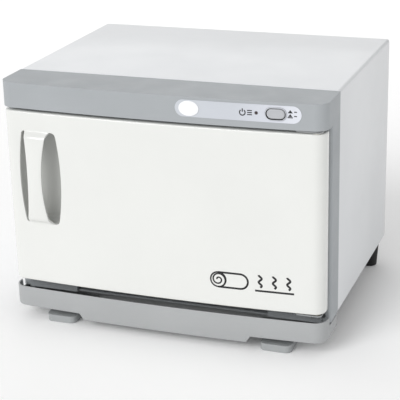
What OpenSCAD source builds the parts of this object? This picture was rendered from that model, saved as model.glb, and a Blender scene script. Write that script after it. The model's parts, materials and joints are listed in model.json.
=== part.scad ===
// Hot towel cabinet: folded steel case on low feet, grey moulded front frame with a control
// fascia, bowed white door hinged on the right with a bridged pull grip over a finger cup,
// latching push button, pull-out drip tray, heated aluminium chamber with two wire racks.
// Millimetres, Z up, front towards -Y, origin on the floor under the middle of the outline box.
// Inside the modules y is measured from the junction between steel case and front frame.

/* [Case] */
// Width across the steel case and the front frame
body_w = 450; // [420:2:500]
// Depth of the steel case behind the front frame
shell_d = 290; // [260:2:330]
// Height of the case top above the floor
body_h = 345; // [330:1:380]
// Height of the case underside above the floor
under_h = 38.5; // [34:0.5:50]
// Sheet thickness of the steel case
sheet = 1; // [0.8:0.1:1.6]

/* [Front] */
// Distance from junction to the middle of the bowed front
front_mid = 74.5; // [66:0.5:84]
// Radius of the shallow bow across the front
bow_r = 3153.5; // [2000:0.5:6000]
// Radius of the upright front corners
corner_r = 18; // [12:0.5:24]
// Depth of the frame that the door closes against
frame_d = 38; // [30:0.5:44]
// Height of the control fascia underside above the floor
fascia_z = 309.3; // [300:0.1:318]
// Wall of the moulded front frame
frame_wall = 2.5; // [2:0.1:3.5]

/* [Door] */
// Height of the door bottom edge
door_z0 = 60.6; // [56:0.1:66]
// Height of the door top edge
door_z1 = 305.2; // [298:0.1:308]
// Distance from junction to the back plane of the door
door_back = 41; // [40:0.1:46]
// Wall of the door front moulding
door_wall = 3; // [2:0.1:4]
// Hinge axis to the right of the middle
hinge_x = 211; // [205:0.5:214]
// Hinge axis in front of the junction
hinge_y = 58; // [54:0.5:62]

/* [Handle] */
// Middle of the finger cup left of the middle
cup_x = 170.4; // [150:0.1:180]
// Middle height of the finger cup
cup_z = 213.7; // [180:0.1:230]
// Half width of the finger cup
cup_hw = 31; // [24:0.5:34]
// Half height of the finger cup
cup_hh = 65.2; // [50:0.1:80]
// Middle of the pull grip left of the middle
grip_x = 173.5; // [160:0.5:180]
// Front of the pull grip in front of the junction
grip_front = 83.1; // [78:0.1:90]

/* [Controls] */
// Middle height of the control panel
ctl_z = 329.05; // [322:0.05:334]
// Middle of the control panel
panel_x = 111.3; // [80:0.1:130]
// Length of the control panel
panel_w = 164.6; // [120:0.2:200]
// Height of the control panel
panel_h = 22.3; // [16:0.1:26]
// Middle of the push button
button_x = 161; // [140:0.5:180]
// Middle of the indicator
lamp_x = 136; // [110:0.5:145]
// Middle of the blank badge
badge_x = 47.5; // [40:0.5:60]

/* [Chamber] */
// Half width of the chamber opening
ch_hw = 190; // [170:1:195]
// Height of the chamber floor
ch_z0 = 74; // [70:0.5:90]
// Height of the chamber ceiling
ch_z1 = 292; // [270:0.5:296]
// Depth of the aluminium chamber behind the junction
ch_d = 257; // [220:1:262]

/* [Tray] */
// Height of the tray front rim
tray_top = 48.9; // [44:0.1:54]
// Height of the outer tray floor underside
tray_z = 19.6; // [16:0.1:24]
// Height of the deep tray floor underside
tray_deep = 11; // [8:0.1:14]

/* [Hidden] */
$fn = 96;
e = 0.6;
hw = body_w / 2;
rear_out = 3.4;
y_j = -(grip_front + shell_d + rear_out) / 2 + grip_front;
y_junction = -(grip_front + shell_d + rear_out) / 2 + grip_front;
rack_y0 = 14;
rack_y1 = 246;
rear_pts = [[-218.5, 66], [-218.5, 190], [-218.5, 318], [218.5, 66], [218.5, 190], [218.5, 318], [-120, 338.5], [120, 338.5], [-120, 48.5], [90, 48.5]];
base_pts = [[-218, 40], [-218, 140], [-218, 230], [218, 40], [218, 140], [218, 230]];
frame_pts = [[-218.3, 90], [-218.3, 250], [218.3, 90], [218.3, 250], [-120, 337.3], [120, 337.3]];
foot_pts = [[-156.5, 13], [-156.5, 31], [156.5, 13], [156.5, 31], [-208, 263], [208, 263]];
door_pts = [[-207, 80], [-207, 136], [-207, 232], [-207, 288], [207, 80], [207, 136], [207, 232], [207, 288]];
up_screws = [[208, 300], [208, 286]];
lo_screws = [[203, 48.5], [214, 48.5]];

// ---------- helpers ----------
module J() { translate([0, y_j, 0]) children(); }
// 2D (x, z) outline pushed along +Y from y0 over d
module xz(y0, d) { translate([0, y0 + d, 0]) rotate([90, 0, 0]) linear_extrude(height = d) children(); }
// 2D (y, z) outline pushed along +X from x0 over w
module yz(x0, w) { translate([x0, 0, 0]) rotate([90, 0, 90]) linear_extrude(height = w) children(); }
// 2D plan pushed up from z0 over h
module xy(z0, h) { translate([0, 0, z0]) linear_extrude(height = h) children(); }
// round bar or bore along Y from y0 over d
module rod_y(x, z, y0, d, r) { translate([x, y0 + d, z]) rotate([90, 0, 0]) cylinder(h = d, r = r); }
module box(x0, x1, y0, y1, z0, z1) { translate([x0, y0, z0]) cube([x1 - x0, y1 - y0, z1 - z0]); }
module rrect(x0, z0, w, h, r) {
    translate([x0 + r, z0]) square([w - 2 * r, h]);
    translate([x0, z0 + r]) square([w, h - 2 * r]);
    for (i = [0, 1], j = [0, 1]) translate([x0 + r + i * (w - 2 * r), z0 + r + j * (h - 2 * r)]) circle(r = r);
}
module stadium(w, h) {
    square([w - h, h], center = true);
    for (s = [-1, 1]) translate([s * (w - h) / 2, 0]) circle(d = h);
}
module oval(a, b, n = 72) { polygon([for (i = [0:n - 1]) [a * cos(i * 360 / n), b * sin(i * 360 / n)]]); }
function arc(cx, cy, r, a0, a1, n, i0 = 0, i1 = 0) =
    [for (i = [i0:n - i1]) let (a = a0 + (a1 - a0) * i / n) [cx + r * cos(a), cy + r * sin(a)]];
// plan outline with a bowed front, upright front corners rc, rear corners rr, rear edge at yb
module bow(h, r, ym, rc, yb, rr) {
    yc0 = ym + r;
    yc = yc0 - sqrt(pow(r - rc, 2) - pow(h - rc, 2));
    f = asin((h - rc) / (r - rc));
    polygon(concat(
        rr > 0 ? arc(-h + rr, yb - rr, rr, 90, 180, 8) : [[-h, yb]],
        arc(-h + rc, yc, rc, 180, 270 - f, 14),
        arc(0, yc0, r, 270 - f, 270 + f, 40, 1, 1),
        arc(h - rc, yc, rc, 270 + f, 360, 14),
        rr > 0 ? arc(h - rr, yb - rr, rr, 0, 90, 8) : [[h, yb]]));
}
function front_y(x) = -front_mid + bow_r - sqrt(bow_r * bow_r - x * x);
// local frame on the bowed front, -Y pointing straight out of it
module at_front(x, z) { translate([x, front_y(x), z]) rotate([0, 0, asin(x / bow_r)]) children(); }
// straight run between two points with a ball at the far end
module run(a, b, r, k = 1) {
    v = b - a;
    l = norm(v);
    translate(a) rotate([0, acos(v[2] / l), atan2(v[1], v[0])]) cylinder(h = l, r = r);
    translate(b) sphere(r = r * k);
}
module path(p, r, k = 1) {
    translate(p[0]) sphere(r = r * k);
    for (i = [0:len(p) - 2]) run(p[i], p[i + 1], r, k);
}
function unit(v) = v / norm(v);
function carry(t, i, u) = let (w = unit(u - (u * t[i]) * t[i])) i == len(t) - 1 ? [w] : concat([w], carry(t, i + 1, w));
// soft lead: one closed tube of n sides along a route
module lead(p, r, n = 8) {
    m = len(p);
    t = [for (i = [0:m - 1]) unit((i < m - 1 ? unit(p[i + 1] - p[i]) : [0, 0, 0]) + (i > 0 ? unit(p[i] - p[i - 1]) : [0, 0, 0]))];
    u = carry(t, 0, cross(t[0], [0.36, 0.48, 0.8]));
    polyhedron(
        [for (i = [0:m - 1], k = [0:n - 1]) p[i] + r * (cos(k * 360 / n) * u[i] + sin(k * 360 / n) * cross(t[i], u[i]))],
        concat(
            [[for (k = [0:n - 1]) k]], [[for (k = [0:n - 1]) (m - 1) * n + n - 1 - k]],
            [for (i = [0:m - 2], k = [0:n - 1]) [i * n + k, (i + 1) * n + k, i * n + (k + 1) % n]],
            [for (i = [0:m - 2], k = [0:n - 1]) [i * n + (k + 1) % n, (i + 1) * n + k, (i + 1) * n + (k + 1) % n]]));
}
// pan head screw, head on the +Z side, shank down -Z
module pan_screw(l, rh = 3.6, hh = 2.1, rs = 1.9) {
    difference() {
        union() {
            cylinder(h = hh, r = rh);
            translate([0, 0, -l]) cylinder(h = l + 0.5, r = rs);
        }
        for (a = [0, 90]) rotate([0, 0, a]) translate([-2.2, -0.45, hh - 1.1]) cube([4.4, 0.9, 2]);
    }
}

// ---------- steel case ----------
module shell_outline(o) {
    translate([-hw + o, under_h + 1.2]) square([body_w - 2 * o, body_h - under_h - 1.2 - 4]);
    translate([-hw + 4, body_h - 20]) square([body_w - 8, 20 - o]);
    for (s = [-1, 1]) translate([s * (hw - 4), body_h - 4]) circle(r = 4 - o);
}
module outer_shell() {
    color("gainsboro") J() difference() {
        union() {
            xz(0, shell_d) difference() {
                shell_outline(0);
                shell_outline(sheet);
                translate([-hw + sheet, 0]) square([body_w - 2 * sheet, body_h - 30]);
            }
            for (y = [0, shell_d - sheet]) xz(y, sheet) difference() {
                shell_outline(0.2);
                translate([-213, 0]) square([426, 333]);
            }
            for (s = [-1, 1]) box(s > 0 ? 212 : -hw + 0.2, s > 0 ? hw - 0.2 : -212, 0.5, shell_d - 0.5, under_h + 1.2, under_h + 2.2);
        }
        for (p = rear_pts) rod_y(p[0], p[1], shell_d - 4, 8, 1.95);
        for (p = frame_pts) rod_y(p[0], p[1], -2, 6, 2.2);
        for (p = base_pts) translate([p[0], p[1], under_h - 2]) cylinder(h = 8, r = 1.95);
    }
}
module rear_panel() {
    color("silver") J() difference() {
        xz(shell_d, 1) rrect(-222, 41, 444, 301, 5);
        for (p = rear_pts) rod_y(p[0], p[1], shell_d - 2, 6, 2.25);
        for (s = [-1, 1], i = [0:7]) xz(shell_d - 1, 4) translate([s * 105, 210 + i * 13]) stadium(110, 4.5);
        xz(shell_d - 1, 4) translate([150, 60]) square([27.6, 20.6], center = true);
        for (s = [-1, 1]) rod_y(150 + s * 20, 60, shell_d - 2, 6, 1.95);
    }
}
module base_plate() {
    color("darkgray") J() difference() {
        union() {
            box(-hw + 0.5, hw - 0.5, 1.5, shell_d - 1.2, under_h, under_h + 1.2);
            box(-211.5, 211.5, shell_d - 2, shell_d, under_h, under_h + 1.2);
            box(-211.5, 211.5, shell_d - 1, shell_d, under_h, 56);
        }
        for (p = rear_pts) if (p[1] < 60) rod_y(p[0], p[1], shell_d - 4, 8, 1.95);
        for (p = base_pts) translate([p[0], p[1], under_h - 2]) cylinder(h = 8, r = 2.25);
        for (p = foot_pts) translate([p[0], p[1], under_h - 2]) cylinder(h = 8, r = 1.95);
        for (s = [-1, 1], i = [0:5]) xy(under_h - 1, 4) translate([s * 70, 90 + i * 16]) stadium(80, 5);
        xz(shell_d - 4, 8) translate([150, 60]) square([54, 30], center = true);
    }
}

// ---------- front frame ----------
module frame_plan(o, yb) {
    translate([-hw + o, -frame_d + 4]) square([body_w - 2 * o, frame_d - 4 + yb]);
    translate([-hw + 4, -frame_d + o]) square([body_w - 8, 6]);
    for (s = [-1, 1]) translate([s * (hw - 4), -frame_d + 4]) circle(r = 4 - o);
}
module front_frame() {
    w = frame_wall;
    color("lightslategray") J() difference() {
        union() {
            difference() {
                union() {
                    xy(fascia_z, body_h - 1 - fascia_z) bow(hw, bow_r, -front_mid, corner_r, 0, 0);
                    xy(under_h, fascia_z - under_h + 1) frame_plan(0, 0);
                }
                xy(fascia_z + w, body_h - 1 - fascia_z - 2 * w) bow(hw - w, bow_r - w, -front_mid + w, corner_r - w, 1, 0);
                xy(under_h + w, fascia_z - under_h - w) frame_plan(w, 1);
            }
            box(-ch_hw - w, ch_hw + w, -frame_d + 1, 0, ch_z0 - w, ch_z1 + w);
            for (s = [-1, 1]) translate([s * 176.25, 0, 0]) box(-36.75, 36.75, -frame_d - 4, -frame_d + 1, under_h, 47);
            for (p = frame_pts) rod_y(p[0], p[1], -30, 30, 4.6);
            for (p = [[-120, 305], [120, 305], [0, 305]]) box(p[0] - 1, p[0] + 1, -frame_d + 1, -6, ch_z1 + 1, fascia_z + 1);
        }
        box(-ch_hw, ch_hw, -frame_d - 1, 1, ch_z0, ch_z1);
        box(-139.5, 139.5, -frame_d - 1, -frame_d + w + 0.5, under_h + w, 48);
        for (p = frame_pts) rod_y(p[0], p[1], -14, 20, 1.6);
        at_front(button_x, ctl_z) xz(-4, 10) stadium(27.3, 16.3);
        at_front(lamp_x, ctl_z) xz(-4, 10) circle(r = 2.1);
        box(182.8, 219.2, -frame_d - 5, -frame_d + 4, door_z1 + 1, door_z1 + 3.2);
        box(182.8, 219.2, -frame_d - 5, -frame_d + 4, door_z0 - 3.7, door_z0 - 1);
        for (p = concat(up_screws, lo_screws)) {
            rod_y(p[0], p[1], -frame_d - 1, 6, 2.1);
            translate([p[0], -frame_d - 0.01, p[1]]) rotate([-90, 0, 0]) cylinder(h = 2.1, r1 = 4.1, r2 = 2.1);
            if (p[1] < 60) rod_y(p[0], p[1], -frame_d - 5, 5.01, 4.3);
        }
        box(-216.2, -203.8, -frame_d - 1, -frame_d + 4, 162.8, 203.2);
    }
}
module control_panel() {
    color("whitesmoke") J() difference() {
        intersection() {
            xz(-90, 60) translate([panel_x, ctl_z]) stadium(panel_w, panel_h);
            xy(300, 60) difference() {
                translate([0, -front_mid + bow_r]) circle(r = bow_r + 0.42, $fn = 1440);
                translate([0, -front_mid + bow_r]) circle(r = bow_r + 0.02, $fn = 1440);
                translate([-4000, 0]) square([8000, 8000]);
            }
        }
        at_front(button_x, ctl_z) xz(-4, 10) stadium(28.8, 17.8);
        at_front(lamp_x, ctl_z) xz(-4, 10) circle(r = 2.3);
    }
}
module badge() { color("white") J() at_front(badge_x, ctl_z) xz(-2.2, 1.75) oval(13.5, 10); }
module indicator_lamp() {
    color("darkred") J() at_front(lamp_x, ctl_z) {
        rod_y(0, 0, -0.8, 14, 1.9);
        rod_y(0, 0, frame_wall + 0.15, 1.4, 3.6);
        for (s = [-1, 1]) rod_y(s * 1.3, 0, 12, 5, 0.4);
    }
}
module button_bezel() {
    color("dimgray") J() at_front(button_x, ctl_z) difference() {
        union() {
            xz(-1.5, 1.5) stadium(28.2, 17.2);
            xz(-0.2, 9) stadium(27, 16);
        }
        xz(-3, 14) stadium(24.7, 13.7);
    }
}
module switch_body() {
    color("black") J() at_front(button_x, ctl_z) difference() {
        union() {
            box(-10, 10, 12, 30, -7.5, 7.5);
            for (s = [-1, 1]) box(s * 14.5 - 0.8, s * 14.5 + 0.8, 5, 22, -5, 5);
            for (s = [-1, 1]) box(min(s * 9, s * 14.5), max(s * 9, s * 14.5), 16, 22, -5, 5);
            for (s = [-1, 1]) box(s * 5 - 0.4, s * 5 + 0.4, 30, 37, -2.4, 2.4);
        }
        box(-3.4, 3.4, 11, 21, -3.4, 3.4);
    }
}
module power_button() {
    color("gray") J() at_front(button_x, ctl_z) {
        xz(-1.2, 10) stadium(24, 13);
        box(-3, 3, 8, 16, -3, 3);
    }
}

// ---------- chamber ----------
module chamber_liner() {
    color("lightgray") J() difference() {
        union() {
            box(-ch_hw - 1, ch_hw + 1, 0, ch_d + 1, ch_z0 - 1, ch_z1 + 1);
            box(-209, 209, 0, 1, 60, 308);
        }
        box(-ch_hw, ch_hw, -1, ch_d, ch_z0, ch_z1);
    }
}
module insulation_wrap() {
    color("khaki") J() difference() {
        box(-211, 211, 2, 256, ch_z0 + 2, 313);
        box(-ch_hw - 1.2, ch_hw + 1.2, 1, 257, ch_z0, ch_z1 + 1.2);
    }
}
module heater_mat() {
    color("darkorange") J() difference() {
        xy(70.4, 2.5) rrect(-150, 30, 300, 190, 6);
        for (i = [0:5]) xy(69, 1.9) translate([-110 + 44 * i, 125]) square([3, 150], center = true);
    }
}
module thermostat() {
    color("silver") J() translate([60, 120, 0]) {
        translate([0, 0, 60.6]) cylinder(h = 9.6, r = 8);
        difference() {
            xy(68.2, 1.2) stadium(34, 11);
            for (s = [-1, 1]) translate([s * 12.5, 0, 66]) cylinder(h = 6, r = 1.7);
        }
        for (s = [-1, 1]) box(s * 4 - 0.4, s * 4 + 0.4, -2.4, 2.4, 52.5, 60.6);
    }
}
module thermal_fuse() {
    color("white") J() {
        translate([-70, 120, 68]) rotate([0, 90, 0]) cylinder(h = 20, r = 2.2);
        translate([-84, 120, 68]) rotate([0, 90, 0]) cylinder(h = 48, r = 0.5);
    }
}
module terminal_block() {
    color("ivory") J() difference() {
        union() {
            box(40, 90, 200, 216, under_h + 1.2, 52);
            for (i = [0:3]) box(43 + i * 12, 51 + i * 12, 203, 213, 51, 58);
        }
        for (i = [0:3]) translate([47 + i * 12, 208, 50]) cylinder(h = 9, r = 2.2);
        for (i = [0:3]) rod_y(47 + i * 12, 46, 199, 4, 1.7);
        for (i = [0:3]) rod_y(47 + i * 12, 46, 213, 4, 1.7);
    }
}
module wiring() {
    color("crimson") J() {
        lead([[91, 208, 60], [91, 208, 64], [94, 208, 67], [206, 208, 67], [212, 208, 68.5], [216, 208, 73], [217.5, 208, 80], [217.5, 208, 308], [216, 206, 316], [212, 200, 321], [205, 190, 323], [202, 180, 323], [202, 0, 323], [200, -9, 324], [194, -17, 325], [178, -26, 328], [170, -28, ctl_z]], 1.2);
        lead([[79, 212, 60], [79, 212, 62], [82, 213, 64], [90, 214, 64.5], [206, 214, 64.5], [214, 214, 66], [219.5, 213.5, 72], [220.5, 213.5, 80], [220.5, 213.5, 312], [218, 210, 320], [212, 202, 326], [206.5, 190, 327], [206.5, 180, 327], [206.5, 0, 327], [204, -16, 328], [194, -26, 330], [178, -32.5, ctl_z + 2.5], [172, -33.5, ctl_z + 2.5]], 1.2);
        lead([[150, 254, 64], [150, 246, 62], [148, 238, 54], [140, 230, 48], [120, 224, 46], [100, 222, 46], [86, 221, 46], [83, 219, 46], [83, 217, 46]], 1.2);
        lead([[157, 254, 58], [157, 244, 52], [150, 232, 44], [130, 227.5, 42.5], [100, 226.5, 42.5], [76, 225, 43], [71, 221, 46], [71, 217, 46]], 1.2);
        lead([[59, 199, 46], [59, 192, 46], [58, 170, 47], [57, 140, 49], [56, 124, 50], [56, 120, 50.5], [56, 120, 51.8]], 1.2);
        lead([[47, 199, 46], [46, 190, 46], [30, 170, 48], [0, 150, 54], [-24, 130, 62], [-32, 122, 66.5], [-33, 120, 68], [-35.5, 120, 68]], 1.2);
    }
}
module power_inlet() {
    color("black") J() difference() {
        union() {
            xz(shell_d + 1, 2.2) translate([150, 60]) stadium(50, 23);
            box(136.5, 163.5, 262, shell_d + 1.2, 50, 70);
        }
        xz(shell_d - 13, 20) translate([150, 60]) polygon([[-12, -8], [12, -8], [12, 4.5], [8, 8], [-8, 8], [-12, 4.5]]);
        for (s = [-1, 1]) rod_y(150 + s * 20, 60, shell_d - 2, 8, 1.95);
        for (p = [[150, 64], [143, 58], [157, 58]]) box(p[0] - 1.1, p[0] + 1.1, 255, shell_d, p[1] - 2.2, p[1] + 2.2);
    }
}
module inlet_pins() {
    color("silver") J() for (p = [[150, 64], [143, 58], [157, 58]])
        box(p[0] - 1, p[0] + 1, 255, shell_d - 1, p[1] - 2, p[1] + 2);
}
module rack_supports() {
    color("silver") J() for (s = [-1, 1]) {
        box(min(s * 180, s * ch_hw), max(s * 180, s * ch_hw), 16, 244, 179, 180);
        box(min(s * 189, s * ch_hw), max(s * 189, s * ch_hw), 16, 244, 168, 179.5);
    }
}
module rack(z) {
    p = [[-182, rack_y0, z], [182, rack_y0, z], [182, rack_y1, z], [-182, rack_y1, z], [-182, rack_y0, z]];
    path(p, 2, 1.06);
    for (i = [0:14]) translate([-168 + 24 * i, rack_y0, z]) rotate([-90, 0, 0]) cylinder(h = rack_y1 - rack_y0, r = 1.3);
    for (y = [80, 180]) translate([-182, y, z]) rotate([0, 90, 0]) cylinder(h = 364, r = 1.6);
}
module wire_rack_lower() {
    color("silver") J() {
        rack(85);
        for (x = [-168, 168], y = [rack_y0, rack_y1]) {
            translate([x, y, ch_z0 + 2]) cylinder(h = 11 - 2, r = 2);
            translate([x, y, ch_z0 + 2]) sphere(r = 2);
        }
    }
}
module wire_rack_upper() { color("silver") J() rack(182.02); }

// ---------- hinge ----------
module hinge_plate(z) {
    xy(z, 2) difference() {
        union() {
            translate([183, -60]) square([36, 60 - 33.5]);
            translate([189, -66]) square([24, 20]);
            for (x = [189, 213]) translate([x, -60]) circle(r = 6);
        }
        translate([hinge_x, -hinge_y]) circle(r = 3);
    }
}
module hinge_bracket_upper() {
    color("silver") J() difference() {
        union() {
            hinge_plate(door_z1 + 1.1);
            box(196, 219, -frame_d + frame_wall, -frame_d + frame_wall + 2, 278, door_z1 + 3.1);
        }
        for (p = up_screws) rod_y(p[0], p[1], -frame_d, 8, 1.65);
    }
}
module hinge_bracket_lower() {
    color("silver") J() difference() {
        union() {
            hinge_plate(door_z0 - 3.1);
            box(196, 219, -frame_d + frame_wall, -frame_d + frame_wall + 2, 42, door_z0 - 1.1);
        }
        for (p = lo_screws) rod_y(p[0], p[1], -frame_d, 8, 1.65);
    }
}
module hinge_pin_upper() {
    color("silver") J() translate([hinge_x, -hinge_y, 0]) {
        translate([0, 0, door_z1 - 15]) cylinder(h = 18.1, r = 3);
        translate([0, 0, door_z1 + 3.1]) cylinder(h = 0.7, r = 4.2);
    }
}
module hinge_pin_lower() {
    color("silver") J() translate([hinge_x, -hinge_y, 0]) {
        translate([0, 0, door_z0 - 3.1]) cylinder(h = 18.1, r = 3);
        translate([0, 0, door_z0 - 4.3]) cylinder(h = 1.2, r = 5);
    }
}
module bush(z0, zf) {
    translate([hinge_x, -hinge_y, 0]) difference() {
        union() {
            translate([0, 0, z0]) cylinder(h = 14, r = 5);
            translate([0, 0, zf]) cylinder(h = 0.6, r = 6.5);
        }
        translate([0, 0, z0 - 2]) cylinder(h = 18, r = 3.05);
    }
}
module hinge_bush_upper() { color("ivory") J() bush(door_z1 - 14, door_z1); }
module hinge_bush_lower() { color("ivory") J() bush(door_z0, door_z0 - 0.6); }
module magnet_catch() {
    color("black") J() {
        box(-216, -204, -frame_d - 0.4, -30, 163, 203);
        box(-220, -200, -frame_d + frame_wall, -32, 157, 209);
    }
}
module catch_plate() { color("silver") J() xz(-door_back, 1) rrect(-216, 165, 12, 36, 2); }

// ---------- feet ----------
module front_foot(s) {
    color("slategray") J() difference() {
        union() {
            xy(0, 10) translate([s * 156.5 - 21.5, 0]) {
                translate([0, -58]) square([43, 98]);
                translate([8, -66]) square([27, 20]);
                for (x = [8, 35]) translate([x, -58]) circle(r = 8);
            }
            box(s * 156.5 - 17.5, s * 156.5 + 17.5, 2, 40, 9, under_h);
            for (x = [-14, 14]) yz(s * 156.5 + x - 1.5, 3) polygon([[2.5, 9], [-4, 9], [-4, 10.5], [2.5, 34]]);
        }
        for (y = [13, 31]) {
            translate([s * 156.5, y, -1]) cylinder(h = 30, r = 4.6);
            translate([s * 156.5, y, 20]) cylinder(h = 30, r = 2.2);
        }
    }
}
module front_foot_left() { front_foot(-1); }
module front_foot_right() { front_foot(1); }
module rear_foot(s) {
    color("black") J() translate([s * 208, 263, 0]) difference() {
        cylinder(h = under_h, r1 = 11, r2 = 14);
        translate([0, 0, -1]) cylinder(h = 30, r = 4.6);
        translate([0, 0, 20]) cylinder(h = 30, r = 2.2);
    }
}
module rear_foot_left() { rear_foot(-1); }
module rear_foot_right() { rear_foot(1); }

// ---------- screws ----------
module case_screws() {
    color("silver") J() {
        for (p = rear_pts) translate([p[0], shell_d + 1, p[1]]) rotate([-90, 0, 0]) pan_screw(8);
        for (p = base_pts) translate([p[0], p[1], under_h]) rotate([180, 0, 0]) pan_screw(8);
    }
}
module frame_screws() { color("silver") J() for (p = frame_pts) translate([p[0], 1, p[1]]) rotate([-90, 0, 0]) pan_screw(11, 3.6, 2.1, 1.55); }
module foot_screws() { color("silver") J() for (p = foot_pts) translate([p[0], p[1], 29]) rotate([180, 0, 0]) pan_screw(14); }
module hinge_screws() {
    color("silver") J() for (p = concat(up_screws, lo_screws)) difference() {
        union() {
            translate([p[0], -frame_d, p[1]]) rotate([-90, 0, 0]) cylinder(h = 1.98, r1 = 3.95, r2 = 2);
            rod_y(p[0], p[1], -frame_d + 1, 9, 1.6);
        }
        for (a = [0, 90]) translate([p[0], -frame_d, p[1]]) rotate([0, a, 0]) box(-2.2, 2.2, -1, 1, -0.45, 0.45);
    }
}
module inlet_screws() { color("silver") J() for (s = [-1, 1]) translate([150 + s * 20, shell_d + 3.2, 60]) rotate([-90, 0, 0]) difference() {
    translate([0, 0, -9]) cylinder(h = 9.2, r = 1.9);
    for (a = [0, 90]) rotate([0, 0, a]) translate([-1.6, -0.35, -0.8]) cube([3.2, 0.7, 2]);
} }
module door_screws() { color("silver") J() for (p = door_pts) translate([p[0], -door_back, p[1]]) rotate([-90, 0, 0]) pan_screw(12, 3.3, 1.5, 1.5); }

// ---------- door ----------
// barrel outline of the finger recess with rounded corners, grown by o
module cup_outline(o, rc = 4.5, sag = 6.2) {
    r = (cup_hh * cup_hh + sag * sag) / (2 * sag);
    f = asin((cup_hh - rc) / (r - rc));
    c = sqrt(pow(r - rc, 2) - pow(cup_hh - rc, 2)) - (r - cup_hw);
    b = r - cup_hw;
    translate([-cup_x, cup_z]) polygon(concat(
        arc(-b, 0, r + o, -f, f, 20),
        arc(c, cup_hh - rc, rc + o, f, 90, 8, 1, 0),
        arc(-c, cup_hh - rc, rc + o, 90, 180 - f, 8),
        arc(b, 0, r + o, 180 - f, 180 + f, 20, 1, 0),
        arc(-c, rc - cup_hh, rc + o, 180 + f, 270, 8, 1, 0),
        arc(c, rc - cup_hh, rc + o, 270, 360 - f, 8, 0, 1)));
}
module grip() {
    ro = (67 * 67 + 13.1 * 13.1) / 26.2;
    rs = (cup_hh * cup_hh + 6.3 * 6.3) / 12.6;
    yc = -grip_front + ro;
    intersection() {
        yz(-grip_x - 30, 60) intersection() {
            difference() {
                translate([yc, cup_z]) circle(r = ro, $fn = 360);
                translate([yc, cup_z]) circle(r = ro - 5, $fn = 360);
            }
            translate([-100, cup_z - 68.5]) square([60, 137]);
        }
        xz(-100, 60) difference() {
            translate([-grip_x - 19, cup_z - 70]) square([38, 140]);
            for (s = [-1, 1]) translate([-grip_x + s * (10.5 + rs), cup_z]) circle(r = rs, $fn = 360);
        }
    }
}
module door_plan(o) { bow(hw - 2 - o, bow_r - o, -front_mid + o, corner_r - 2 - o, -door_back - o, 7 - o); }
module door_front() {
    w = door_wall;
    color("white") J() difference() {
        union() {
            difference() {
                xy(door_z0, door_z1 - door_z0) door_plan(0);
                xy(door_z0 + w, door_z1 - door_z0 - 2 * w) { door_plan(w); translate([-216, -door_back - w - 1]) square([432, w + 2]); }
                xz(-90, 32) cup_outline(0);
            }
            for (p = door_pts) rod_y(p[0], p[1], -66, 66 - door_back - 1, 4);
            for (z = [door_z0 + 1, door_z1 - 17]) translate([hinge_x, -hinge_y, z]) cylinder(h = 16, r = 7.6);
            grip();
        }
        for (p = door_pts) rod_y(p[0], p[1], -56, 20, 1.55);
        translate([hinge_x, -hinge_y, door_z0 - 1]) cylinder(h = 17.2, r = 5.03);
        translate([hinge_x, -hinge_y, door_z1 - 16.2]) cylinder(h = 18, r = 5.03);
    }
}
module handle_cup() {
    w = door_wall + 0.05;
    color("gray") J() difference() {
        intersection() {
            xz(-90, 40) cup_outline(1.5);
            xy(120, 180) bow(hw - 2 - w, bow_r - w, -front_mid + w, corner_r - 2 - w, -30, 0);
        }
        xz(-100, 48) cup_outline(0);
        box(-grip_x - 22, -grip_x + 22, -80, -62.5, cup_z - 75, cup_z - 60);
        box(-grip_x - 22, -grip_x + 22, -80, -62.5, cup_z + 60, cup_z + 75);
    }
}
module door_inner_panel() {
    color("gainsboro") J() difference() {
        box(-215.8, 215.8, -door_back - 1, -door_back, door_z0 + 3.2, door_z1 - 3.2);
        for (p = door_pts) rod_y(p[0], p[1], -door_back - 3, 5, 1.8);
    }
}
module door_insulation() { color("lightyellow") J() box(-126, 196, -64.3, -door_back - 1.2, 82, 286); }
module door_gasket() {
    color("dimgray") J() xz(-door_back, 2.7) difference() {
        rrect(-200, 64.4, 400, 236.1, 8);
        rrect(-194.2, 70.2, 388.4, 224.5, 3);
    }
}

// ---------- drip tray ----------
module tray_deep_outline(o) {
    polygon([[-118 + o, tray_deep + o], [118 - o, tray_deep + o], [124 - o, tray_z + 3], [-124 + o, tray_z + 3]]);
}
module drip_tray() {
    w = 2.2;
    color("lightsteelblue") J() difference() {
        union() {
            difference() {
                union() {
                    xy(tray_z, 36.5 - tray_z) bow(hw, bow_r, -front_mid, corner_r, -6, 0);
                    intersection() {
                        xy(30, tray_top - 30) bow(hw, bow_r, -front_mid, corner_r, -6, 0);
                        box(-hw - 1, hw + 1, -100, -44, 20, 60);
                    }
                    intersection() {
                        xz(-90, 90) tray_deep_outline(0);
                        xy(5, 20) bow(hw, bow_r, -front_mid, corner_r, -6, 0);
                    }
                }
                xy(tray_z + w, 40) bow(hw - w, bow_r - w, -front_mid + w, corner_r - w, -6 - w, 0);
                intersection() {
                    xz(-90, 90) tray_deep_outline(w);
                    xy(5, 20) bow(hw - w, bow_r - w, -front_mid + w, corner_r - w, -6 - w, 0);
                }
            }
            for (s = [-1, 1]) box(min(s * 213, s * 223.5), max(s * 213, s * 223.5), -52, -6.5, 31, 33);
        }
        for (s = [-1, 1]) box(min(s * 206, s * 221.5), max(s * 206, s * 221.5), -8.25, -5, 27.4, 60);
    }
}
module tray_rails() {
    color("slategray") J() for (s = [-1, 1]) {
        box(min(s * 196, s * 211), max(s * 196, s * 211), -36, -10, 36.5, under_h);
        box(min(s * 208.4, s * 211), max(s * 208.4, s * 211), -36, -10, 28.6, 38);
        box(min(s * 208.4, s * 220), max(s * 208.4, s * 220), -36, -10, 28.6, 30.8);
    }
}

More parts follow.
